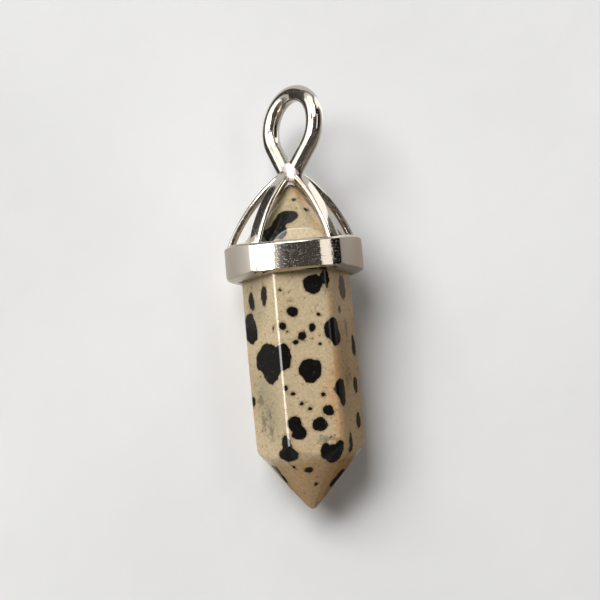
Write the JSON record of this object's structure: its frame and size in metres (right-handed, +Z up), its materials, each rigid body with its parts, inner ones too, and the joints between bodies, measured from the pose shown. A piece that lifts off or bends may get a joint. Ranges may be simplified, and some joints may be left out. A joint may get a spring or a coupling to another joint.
{
  "type": "crystal point pendant",
  "caption": "Hexagonal spotted stone ground to a point at both ends, held by a cast metal cap of a band, bowed arms and a wire loop that a cord or chain passes through.",
  "frame": {"origin": "centre of the footprint's bounding box on the plane that the pendant lies on", "axes": "+Y runs from the stone's lower tip to the wire loop, +Z is up and away from the plane, +X is to the right when the tip points towards the viewer"},
  "size_m": [0.0124, 0.0382, 0.0115],
  "materials": {
    "spotted_stone": "tumbled to a semi-gloss polish, cream with black spots",
    "plated_metal": "bright silver-tone plating on a zinc casting"
  },
  "bodies": {
    "root": {"crystal_point": "spotted_stone", "cage_cap": "plated_metal"}
  },
  "joints": []
}
